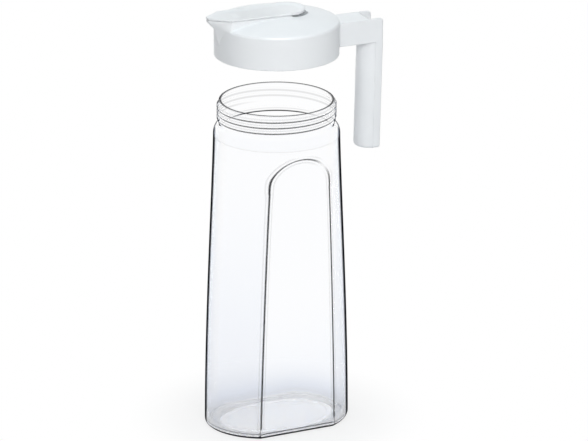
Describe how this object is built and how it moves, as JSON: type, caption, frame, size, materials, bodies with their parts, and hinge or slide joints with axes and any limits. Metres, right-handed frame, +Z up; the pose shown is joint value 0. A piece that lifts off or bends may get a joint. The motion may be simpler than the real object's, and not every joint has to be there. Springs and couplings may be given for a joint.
{
  "type": "drinks pitcher",
  "caption": "Tall clear drinks pitcher with an arch-topped panel on each broad side and a white screw lid that carries a see-saw spout flap and an open-channel handle.",
  "frame": {"origin": "centre of the bottle's resting face", "axes": "+Z up along the bottle's axis, +X towards the handle, -X towards the pouring beak, +Y and -Y towards the two flat panels"},
  "size_m": [0.1514, 0.104, 0.3555],
  "materials": {
    "clear_plastic": "polished, colourless and see-through",
    "white_plastic": "smooth satin gloss, cool white",
    "silicone": "matt, milky silicone rubber"
  },
  "bodies": {
    "bottle": {"bottle": "clear_plastic"},
    "gasket": {"lid_gasket": "silicone"},
    "lid": {"lid": "white_plastic", "handle": "white_plastic"},
    "flap": {"spout_flap": "white_plastic", "flap_seal": "silicone"}
  },
  "joints": [
    {"name": "lid_lift", "type": "slide", "parent": "bottle", "child": "gasket", "axis": [0, 0, 1], "range_m": [-0.059, 0]},
    {"name": "lid_turn", "type": "hinge", "parent": "gasket", "child": "lid", "pos_m": [0, 0, 0.3178], "axis": [0, 0, 1], "range_deg": [-1080, 0]},
    {"name": "flap_tilt", "type": "hinge", "parent": "lid", "child": "flap", "pos_m": [0.004, 0, 0.3506], "axis": [0, 1, 0], "range_deg": [0, 18]}
  ]
}
